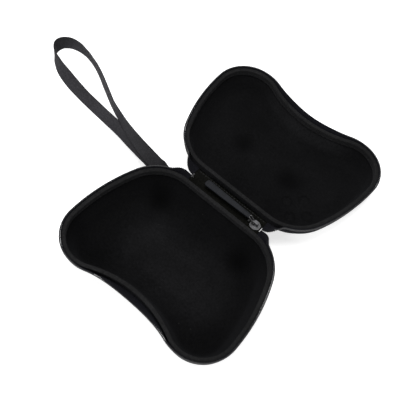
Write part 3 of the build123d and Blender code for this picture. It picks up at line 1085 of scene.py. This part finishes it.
def build_zip_tape(side):
    """Woven zip tape with a corded edge, and its seam."""
    half_width = tape_width / 2
    half_thick = tape_thickness / 2
    foot = cloth_clearance + 0.1 * mm
    corners = [
        (-half_width - foot, -half_thick - foot),
        (-half_width + 0.15 * mm, -half_thick * 0.8),
        (half_width - 0.9 * mm, -half_thick * 0.8),
        (half_width - 0.45 * mm, -half_thick),
        (half_width - 0.1 * mm, -half_thick * 0.7),
        (half_width, 0),
        (half_width - 0.1 * mm, half_thick * 0.7),
        (half_width - 0.45 * mm, half_thick),
        (half_width - 0.9 * mm, half_thick * 0.8),
        (-half_width + 0.15 * mm, half_thick * 0.8),
        (-half_width - foot, half_thick * 0.4),
    ]
    piece = sweep(side + "_zip_tape_cloth", corners, tape_places(1.8 * mm), mapped=True)
    piece.data.transform(rims[side])
    finish_piece(piece, kept(tape_cloth), replaced=[side + "_zip_tape"])
    bend_at_hinge(piece, side)

    def place_at(distance, half):
        place = tape_place(distance, half)
        across, normal, along = (place.to_3x3().col[index] for index in range(3))
        spot = place.translation - across * (half_width - 1.3 * mm) + normal * half_thick * 0.8
        return frame_of(spot, along, normal.cross(along), normal)

    pitch = sizes().stitch_pitch
    stitches = repeat(
        side + "_zip_seam_stitches",
        make_stitch(pitch * 0.8, 0.4 * mm, 0.15 * mm),
        round_rim(pitch, tape_start + pitch, place_at),
    )
    stitches.data.transform(rims[side])
    finish_piece(stitches, kept(thread))
    bend_at_hinge(stitches, side)


def build_zip_teeth(side):
    """Bent nylon turns sewn along the tape's edge, with the cord that runs inside them."""
    pitch = sizes().coil_pitch
    wire = 0.29 * mm
    reach = coil_height / 2
    bend = coil_thickness / 2 - wire
    path = [
        (-reach + 0.1 * mm, -bend, -0.22 * pitch),
        (reach - 0.55 * mm, -bend, -0.2 * pitch),
        (reach - wire * 1.1, -bend * 0.5, -0.1 * pitch),
        (reach - wire, 0, 0),
        (reach - wire * 1.1, bend * 0.5, 0.1 * pitch),
        (reach - 0.55 * mm, bend, 0.2 * pitch),
        (-reach + 0.1 * mm, bend, 0.22 * pitch),
    ]
    points = [Vector(point) for point in path]
    places = []
    for step, point in enumerate(points):
        run = (points[min(step + 1, len(points) - 1)] - points[max(step - 1, 0)]).normalized()
        flat = Vector((0, 0, 1)).cross(run).normalized()
        wide = run.cross(flat)
        head = 1.25 if 1 < step < 5 else 1.0
        places.append((0.0, frame_of(point, flat, wide * head, run)))
    tooth = sweep("tooth", ring_corners(wire, 6), places)

    coil_x = (tape_width - coil_height) / 2
    coil_y = (tape_thickness + coil_thickness) / 2 + sewing_clearance

    def place_at(distance, half):
        place = tape_place(distance, half)
        return place @ Matrix.Translation((coil_x, coil_y, 0))

    teeth = repeat(side + "_zip_teeth", tooth, round_rim(pitch, tape_start + pitch / 2, place_at))
    flat_cord = [(-0.75, -0.42), (0.62, -0.42), (0.85, 0), (0.62, 0.42), (-0.75, 0.42)]
    cord = sweep("cord", [(coil_x + x * mm, coil_y + y * mm) for x, y in flat_cord], tape_places(2.4 * mm))
    select_only(teeth)
    cord.select_set(True)
    bpy.ops.object.join()
    teeth.data.transform(rims[side])
    finish_piece(teeth, kept(nylon), replaced=[side + "_zip_coil"], angle=50)
    bend_at_hinge(teeth, side)


# Hinge


def cut_notch(piece, low, high):
    """Cuts a box out of a piece."""
    bpy.ops.object.select_all(action="DESELECT")
    bpy.ops.mesh.primitive_cube_add(size=1, location=(low + high) / 2, scale=high - low)
    cutter = bpy.context.object
    apply_modifier(piece, "BOOLEAN", operation="DIFFERENCE", object=cutter, solver="EXACT")
    bpy.data.objects.remove(cutter, do_unlink=True)


through = 5 * mm
under_slider = 1.05 * mm


def cut_hinge_notches(piece, slider_cut_depth):
    """Room for the slider at one end, down to a depth, and for the coils and their clips at both ends."""
    low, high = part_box("hinge_facing")
    slider_low, slider_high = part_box("slider_body")
    clip_low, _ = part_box("base_top_stop")
    _, clip_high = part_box("lid_top_stop")
    room = 0.2 * mm
    under, over, beyond = low.z - through, high.z + through, high.x + through
    near, far = clip_low.y - room, clip_high.y + room
    slider_corner = Vector((slider_low.x - room, slider_low.y - room, high.z - slider_cut_depth))
    cut_notch(piece, slider_corner, Vector((slider_high.x + room, slider_high.y + room, over)))
    cut_notch(piece, Vector((-beyond, near, under)), Vector((clip_high.x + room, far, over)))
    cut_notch(piece, Vector((high.x - room, near, under)), Vector((beyond, far, over)))


def hinge_places(low, high, steps, sag_of=None):
    """Frames along the hinge, x across it and y up, with a sag that depends on the distance."""
    start = frame_of((low.x, 0, 0), (0, 1, 0), (0, 0, 1), (1, 0, 0))
    places = [(0.0, start)]
    for step in range(1, steps + 1):
        reach = (high.x - low.x) * step / steps
        sag = sag_of(reach) if sag_of else 0.0
        places.append((reach, Matrix.Translation((reach, 0, sag)) @ start))
    return places


def finish_hinge_cloth(piece, slider_cut_depth, node):
    """Cuts the notches of a hinge cloth, maps it by x and y and gives it its finish."""
    cut_hinge_notches(piece, slider_cut_depth)
    write_run_map(piece, lambda vertex: (vertex.co.x, vertex.co.y))
    finish_piece(piece, kept(hinge_cloth), "hinge", [node], 50)


def build_hinge_facing():
    """Ribbed cloth facing of the hinge, its ribs along the fold, with a seam at each long edge."""
    low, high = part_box("hinge_facing")
    width = high.y - low.y
    ribs = round(width / sizes().rib_pitch)
    rows = ribs * 6
    surface = []
    for row in range(rows + 1):
        y = low.y + width * row / rows
        wave = abs(sin(pi * ribs * row / rows)) ** 0.6
        at_edge = ease(min(y - low.y, high.y - y) / (0.7 * mm))
        surface.append((y, high.z - 0.26 * mm + 0.26 * mm * wave * (0.4 + 0.6 * at_edge)))
    corners = surface + [(high.y, low.z), (low.y, low.z)]

    def sag_of(reach):
        return min(0.0, 0.12 * mm * noise.noise(Vector((reach * 90, 0, 4))))

    piece = sweep("hinge_ribbed_facing", corners, hinge_places(low, high, 40, sag_of))
    finish_hinge_cloth(piece, through, "hinge_facing")

    pitch = sizes().stitch_pitch
    count = floor((high.x - low.x - 2 * mm) / pitch)
    places = []
    for row in (low.y + 1.2 * mm, high.y - 1.2 * mm):
        for step in range(count):
            reach = 1.5 * mm + pitch * (step + 0.5)
            places.append(Matrix.Translation((low.x + reach, row, high.z - 0.03 * mm)))
    stitches = repeat("hinge_stitches", make_stitch(pitch * 0.75, 0.42 * mm, 0.16 * mm), places)
    finish_piece(stitches, kept(thread), "hinge")


def build_hinge_strip():
    """Outer strip of the hinge, lightly ribbed underneath."""
    low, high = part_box("hinge_strip")
    under_tape, into_wall = 1.8 * mm, 0.8 * mm
    low -= Vector((under_tape, into_wall, 0))
    high += Vector((under_tape, into_wall, 0))
    width = high.y - low.y
    ribs = round(width / (2 * sizes().rib_pitch))
    rows = ribs * 6
    under = []
    for row in range(rows + 1):
        y = high.y - width * row / rows
        under.append((y, low.z + 0.2 * mm - 0.2 * mm * abs(sin(pi * ribs * row / rows)) ** 0.7))
    corners = [(low.y, high.z), (high.y, high.z)] + under
    piece = sweep("hinge_outer_strip", corners, hinge_places(low, high, 24))
    finish_hinge_cloth(piece, under_slider, "hinge_strip")


# Pull


def build_pull():
    """Moulded ribbon with a raised border, a thick root and a ridged grip."""
    low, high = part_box("pull_tab")
    middle = (low.y + high.y) / 2
    length = high.x - low.x
    corners = [
        (-0.96, -1.0),
        (0.96, -1.0),
        (1.0, -0.6),
        (1.0, 0.6),
        (0.93, 1.0),
        (0.76, 1.0),
        (0.68, 0.62),
        (-0.68, 0.62),
        (-0.76, 1.0),
        (-0.93, 1.0),
        (-1.0, 0.6),
        (-1.0, -0.6),
    ]
    half_thick = (high.z - low.z) / 2
    root_half = 2.1 * mm
    end_half = (high.y - low.y) / 2
    places = []
    steps = 96
    for step in range(steps + 1):
        share = step / steps
        reach = length * share
        half = root_half + (end_half - root_half) * share
        from_end = length - reach
        rounding = 2.6 * mm
        if from_end < rounding:
            half *= 0.45 + 0.55 * (1 - (1 - from_end / rounding) ** 2) ** 0.5
        if reach < 1.2 * mm:
            half *= 0.8 + 0.2 * (1 - (1 - reach / (1.2 * mm)) ** 2) ** 0.5
        thick = half_thick * 0.8
        if reach < 7 * mm:
            thick = half_thick * (0.8 + 0.2 * ease((7 * mm - reach) / (1.5 * mm)))
        if 1.8 * mm < from_end < 14 * mm:
            thick = half_thick * (0.82 + 0.18 * abs(sin(pi * from_end / (2.0 * mm))))
        if step in (0, steps):
            thick *= 0.7
        spot = (high.x - reach, middle, low.z + half_thick)
        places.append((reach, frame_of(spot, (0, half, 0), (0, 0, thick), (-1, 0, 0))))
    piece = sweep("pull_ribbon_tab", corners, places)
    finish_piece(piece, kept(pull_plastic), "pull", ["pull_tab"], 35)


# Wrist strap

strap_width = 12.0 * mm
strap_thickness = 1.2 * mm
root_from_middle = 58.5 * mm
root_length = 4.0 * mm
root_bend = 1.3 * mm
root_stiff = 2.5 * mm
root_turning = 12.0 * mm
root_angle = asin((root_from_middle - flat_half) / corner_radius)
root_out = Vector((-sin(root_angle), cos(root_angle), 0))
root_along = Vector((cos(root_angle), sin(root_angle), 0))
root_wall = Vector((-root_from_middle, base_fold_y - corner_radius * (1 - cos(root_angle)), fold_height))
lower_leg = cloth_clearance + tape_thickness + 0.3 * mm + strap_thickness / 2
upper_leg = lower_leg + strap_thickness + cloth_clearance

# Each row is x, y, the lowest edge's height and the upper face's turn, where minus is out of the loop
strap_rows = [
    (-67.9, 54.4, 23.1, 0),
    (-80.3, 57.0, 18.9, 0),
    (-101.4, 62.5, 10.9, 0),
    (-122.6, 68.2, 3.9, -2),
    (-140.3, 70.8, 0.9, -3),
    (-160.7, 72.6, 0.3, -3),
    (-181.0, 74.6, 0.3, -6),
    (-200.7, 77.4, 0.3, -30),
    (-217.3, 81.8, 0.3, -64),
    (-229.2, 89.4, 0.3, -94),
    (-232.4, 98.4, 0.2, -120),
    (-227.8, 105.0, 0.2, -116),
    (-218.5, 108.6, 0.2, -104),
    (-206.5, 108.6, 0.2, -92),
    (-193.6, 105.6, 0.2, -90),
    (-181.3, 100.9, 0.2, -95),
    (-169.5, 94.9, 0.2, -98),
    (-157.1, 88.4, 0.2, -98),
    (-145.3, 82.3, 1.2, -97),
    (-133.1, 76.9, 4.1, -101),
    (-121.2, 72.0, 6.2, -108),
    (-109.4, 67.4, 9.9, -116),
    (-101.0, 64.4, 12.9, -123),
    (-89.8, 60.7, 17.1, -136),
    (-82.0, 58.4, 20.3, -147),
    (-74.4, 56.6, 23.0, -158),
    (-67.3, 55.4, 25.2, -168),
]


def sewn(out, height):
    """Point of the strap's middle line at a distance out from the wall and a height above the fold."""
    return root_wall + root_out * out + Vector((0, 0, height))


def lying(x, y, lift, turn):
    """Point of the middle line where the webbing's lowest edge is at the lift and it has turned so far."""
    half_height = strap_width / 2 * abs(sin(radians(turn))) + strap_thickness / 2 * abs(cos(radians(turn)))
    return Vector((x * mm, y * mm, lift * mm + half_height))


def strap_points():
    """Points of the strap's middle line with the turn at each."""
    route = [
        (sewn(lower_leg, root_length), 0),
        (sewn(lower_leg, root_bend), 0),
        (sewn(lower_leg + root_bend, -root_bend), 0),
    ]
    route += [(lying(*row), row[3]) for row in strap_rows]
    route += [
        (sewn(upper_leg + 0.7 * root_bend, root_bend / 4), -180),
        (sewn(upper_leg, 2 * root_bend), -180),
        (sewn(upper_leg, root_length), -180),
    ]
    return route


def strap_line(route, steps):
    """Smooth curve through the route's points, read as a chain with some steps to each span."""
    bpy.ops.object.select_all(action="DESELECT")
    bpy.ops.curve.primitive_bezier_curve_add()
    line = bpy.context.object
    line.data.dimensions = "3D"
    line.data.resolution_u = steps
    spline = line.data.splines[0]
    spline.bezier_points.add(len(route) - 2)
    for knot, (point, _) in zip(spline.bezier_points, route):
        knot.co = point
        knot.handle_left_type = "AUTO"
        knot.handle_right_type = "AUTO"
    bpy.ops.object.convert(target="MESH")
    line = bpy.context.object
    points = [vertex.co.copy() for vertex in line.data.vertices]
    bpy.data.objects.remove(line)
    return points


def strap_places(steps):
    """Frames across the webbing: x is its width, y its thickness, z runs along."""
    route = strap_points()
    points = strap_line(route, steps)
    lengths = [0.0]
    for first, second in zip(points, points[1:]):
        lengths.append(lengths[-1] + (second - first).length)
    places = []
    for index, point in enumerate(points):
        run = (points[min(index + 1, len(points) - 1)] - points[max(index - 1, 0)]).normalized()
        row = min(index // steps, len(route) - 2)
        share = (index - row * steps) / steps
        turn = radians(route[row][1] + (route[row + 1][1] - route[row][1]) * share)
        from_root = min(lengths[index], lengths[-1] - lengths[index])
        free = ease((from_root - root_stiff) / root_turning)
        sewn_side = root_along if index < len(points) / 2 else -root_along
        level_side = sewn_side * (1 - free) + run.cross(Vector((0, 0, 1))) * free
        upper_face = level_side.cross(run).normalized()
        side = run.cross(upper_face)
        face = upper_face * cos(turn) + side * sin(turn)
        places.append((lengths[index], frame_of(point, face.cross(run), face, run)))
    return places


def build_strap():
    """Woven webbing loop with a rolled edge on each side, and the stitches that hold its ends."""
    half_width = strap_width / 2
    half_thick = strap_thickness / 2
    upper = [
        (half_width, 0.0),
        (half_width - 0.1 * mm, half_thick * 0.65),
        (half_width - 0.45 * mm, half_thick * 0.95),
        (half_width - 0.9 * mm, half_thick * 0.72),
        (half_width * 0.5, half_thick * 0.8),
        (0.0, half_thick * 0.82),
    ]
    left = [(-x, y) for x, y in reversed(upper[:-1])]
    top = upper + left
    corners = top + [(x, -y) for x, y in reversed(top[1:-1])]

    # Painted shade: the webbing's colour is darkened by up to 55% towards its sewn root and by up to 50% at
    # the loop's tip.
    def painted_shade_of(spot):
        root = ease((spot.x + 128 * mm) / (34 * mm))
        tip = ease((-219 * mm - spot.x) / (14 * mm))
        return 1 - 0.55 * root - 0.5 * tip

    piece = sweep("wrist_strap_webbing", corners, strap_places(8), mapped=True)
    write_painted_shade(piece, painted_shade_of)
    finish_piece(piece, kept(strap_cloth), "base", ["wrist_strap"], 50)

    tack = frame_of(
        sewn(upper_leg + strap_thickness / 2 + 0.12 * mm, 2.9 * mm), Vector((0, 0, 1)), root_along, root_out
    )
    places = []
    for step in range(17):
        reach = (step - 8) * 0.47 * mm
        lean = 0.16 if step % 2 else -0.16
        places.append(tack @ Matrix.Translation((0, reach, 0)) @ Matrix.Rotation(lean, 4, "Z"))
    stitches = repeat("strap_bar_tack_stitches", make_stitch(2.3 * mm, 0.5 * mm, 0.2 * mm), places)
    finish_piece(stitches, kept(thread), "base", ["strap_bar_tack"])


# Camera, floor and lamps

photo_azimuth = radians(31.45)
photo_elevation = radians(63.03)
photo_roll = radians(10.23)
photo_aim = Vector((-14.07, 48.07, 41.0)) * mm
photo_distance = 638.9 * mm
photo_lens = 69.29
photo_sensor = 36
room_light = 0.18
floor_glow = 0.7


def add_camera():
    """Camera at the photograph's angle."""
    azimuth, elevation, roll = photo_azimuth, photo_elevation, photo_roll
    back = Vector((sin(azimuth) * cos(elevation), -cos(azimuth) * cos(elevation), sin(elevation)))
    right = Vector((0, 0, 1)).cross(back).normalized()
    up = back.cross(right)
    rolled_right = right * cos(roll) + up * sin(roll)
    rolled_up = up * cos(roll) - right * sin(roll)
    eye = photo_aim + back * photo_distance
    bpy.ops.object.select_all(action="DESELECT")
    bpy.ops.object.camera_add()
    camera = bpy.context.object
    camera.name = "photo_camera"
    camera.matrix_world = frame_of(eye, rolled_right, rolled_up, back)
    camera.data.sensor_width = photo_sensor
    camera.data.lens = photo_lens
    camera.data.clip_start = 10 * mm
    bpy.context.scene.camera = camera


def add_lamp(name, place, aim, size, energy):
    """A soft square lamp turned towards a point."""
    bpy.ops.object.light_add(type="AREA", location=place)
    lamp = bpy.context.object
    lamp.name = name
    lamp.data.size = size
    lamp.data.energy = energy
    lamp.rotation_euler = (Vector(aim) - Vector(place)).to_track_quat("-Z", "Y").to_euler()


def seen_directly(tree):
    """1 for rays that see a surface straight, in a mirror or through glass, and 0 for light."""
    path = tree.nodes.new("ShaderNodeLightPath").outputs
    seen = calc(tree, "ADD", path["Is Camera Ray"], path["Is Glossy Ray"])
    added = calc(tree, "ADD", seen, path["Is Transmission Ray"])
    return calc(tree, "MINIMUM", added, 1.0)


def add_stage():
    """White floor that keeps the shadow, white world and two soft lamps."""
    bpy.ops.object.select_all(action="DESELECT")
    bpy.ops.mesh.primitive_grid_add(x_subdivisions=8, y_subdivisions=8, size=6.0, location=(0, 0.05, 0))
    floor_sheet = bpy.context.object
    floor_sheet.name = "floor"
    material, tree, shader = new_finish("pale_floor", Roughness=0.9, Specular_IOR_Level=0.1)
    fine = add_noise(tree, object_place(tree), 300.0)
    shade = remap(tree, fine, 0.3, 0.7, 0.86, 0.9)
    feed(tree, shader.inputs["Base Color"], blend_colours(tree, shade, (0, 0, 0, 1), (1, 1, 1, 1)))
    shader.inputs["Emission Color"].default_value = (1, 1, 1, 1)
    feed(tree, shader.inputs["Emission Strength"], calc(tree, "MULTIPLY", seen_directly(tree), floor_glow))
    floor_sheet.data.materials.append(material)

    world = bpy.data.worlds.new("white_room")
    bpy.context.scene.world = world
    world.use_nodes = True
    tree = world.node_tree
    sky = tree.nodes["Background"]
    sky.inputs["Color"].default_value = (1, 1, 1, 1)
    feed(tree, sky.inputs["Strength"], remap(tree, seen_directly(tree), 0, 1, room_light, 1.0))
    add_lamp("key_lamp", (-0.1, 0.05, 1.25), (0, 0.06, 0), 0.6, 13.0)
    add_lamp("fill_lamp", (0.05, -0.95, 0.85), (0, 0.05, 0), 0.5, 6.0)


class CASE_OT_camera(bpy.types.Operator):
    """Set the camera at the photograph's angle."""

    bl_idname = "case.camera"
    bl_label = "Camera"

    def execute(self, context):
        """Adds the camera."""
        add_camera()
        return {"FINISHED"}


class CASE_OT_shells(bpy.types.Operator):
    """Build the outer cloth of both halves."""

    bl_idname = "case.shells"
    bl_label = "Outer cloth"

    def execute(self, context):
        """Builds both shells."""
        for side in rims:
            build_bowl(side, "shell")
        return {"FINISHED"}


class CASE_OT_linings(bpy.types.Operator):
    """Build the moulded linings of both halves."""

    bl_idname = "case.linings"
    bl_label = "Linings"

    def execute(self, context):
        """Builds both linings."""
        for side in rims:
            build_bowl(side, "lining")
        return {"FINISHED"}


class CASE_OT_bindings(bpy.types.Operator):
    """Build the rim bindings and their stitches."""

    bl_idname = "case.bindings"
    bl_label = "Rim bindings"

    def execute(self, context):
        """Builds both bindings."""
        for side in rims:
            build_binding(side)
        return {"FINISHED"}


class CASE_OT_zip(bpy.types.Operator):
    """Build the zip's tapes and teeth."""

    bl_idname = "case.zip"
    bl_label = "Zip"

    def execute(self, context):
        """Builds both halves of the zip."""
        for side in rims:
            build_zip_tape(side)
            build_zip_teeth(side)
        return {"FINISHED"}


class CASE_OT_hinge(bpy.types.Operator):
    """Build the fabric hinge."""

    bl_idname = "case.hinge"
    bl_label = "Fabric hinge"

    def execute(self, context):
        """Builds the hinge's facing and outer strip."""
        build_hinge_facing()
        build_hinge_strip()
        return {"FINISHED"}


class CASE_OT_pull(bpy.types.Operator):
    """Build the zip pull and finish the slider, its bail and the stops."""

    bl_idname = "case.pull"
    bl_label = "Slider and pull"

    def execute(self, context):
        """Builds the pull and gives the metal parts their material."""
        build_pull()
        finishes = {"slider_body": dark_metal, "slider_bail": dark_metal, "pull_link": dark_metal}
        finishes |= {"bottom_stop": nylon, "base_top_stop": nylon, "lid_top_stop": nylon}
        for node, finish in finishes.items():
            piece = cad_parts[node]
            piece.data.materials.clear()
            piece.data.materials.append(kept(finish))
        return {"FINISHED"}


class CASE_OT_strap(bpy.types.Operator):
    """Build the wrist strap."""

    bl_idname = "case.strap"
    bl_label = "Wrist strap"

    def execute(self, context):
        """Builds the webbing and the stitches of its ends."""
        build_strap()
        return {"FINISHED"}


class CASE_OT_stage(bpy.types.Operator):
    """Build the floor, the world and the lamps."""

    bl_idname = "case.stage"
    bl_label = "Stage"

    def execute(self, context):
        """Adds the stage."""
        add_stage()
        return {"FINISHED"}


steps_in_order = (
    CASE_OT_camera,
    CASE_OT_shells,
    CASE_OT_linings,
    CASE_OT_bindings,
    CASE_OT_zip,
    CASE_OT_hinge,
    CASE_OT_pull,
    CASE_OT_strap,
    CASE_OT_stage,
)


class CASE_PT_panel(bpy.types.Panel):
    """Sizes, colours and steps of the case."""

    bl_idname = "CASE_PT_panel"
    bl_label = "Controller case"
    bl_space_type = "VIEW_3D"
    bl_region_type = "UI"
    bl_category = "Case"

    def draw(self, context):
        """Lists the settings and the steps."""
        for settings in (context.scene.case_sizes, context.scene.case_colours):
            for name in settings.__annotations__:
                self.layout.prop(settings, name)
        for step in steps_in_order:
            self.layout.operator(step.bl_idname)


registered = (CaseSizes, CaseColours, *steps_in_order, CASE_PT_panel)


def register():
    """Registers the classes and adds the settings to the scene."""
    for each in registered:
        bpy.utils.register_class(each)
    bpy.types.Scene.case_sizes = bpy.props.PointerProperty(type=CaseSizes)
    bpy.types.Scene.case_colours = bpy.props.PointerProperty(type=CaseColours)


def unregister():
    """Removes the settings and the classes."""
    del bpy.types.Scene.case_colours
    del bpy.types.Scene.case_sizes
    for each in reversed(registered):
        bpy.utils.unregister_class(each)


def main():
    """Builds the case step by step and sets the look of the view."""
    register()
    for step in steps_in_order:
        group, name = step.bl_idname.split(".")
        getattr(getattr(bpy.ops, group), name)()
    bpy.context.scene.view_settings.view_transform = "Standard"


if __name__ == "__main__":
    main()
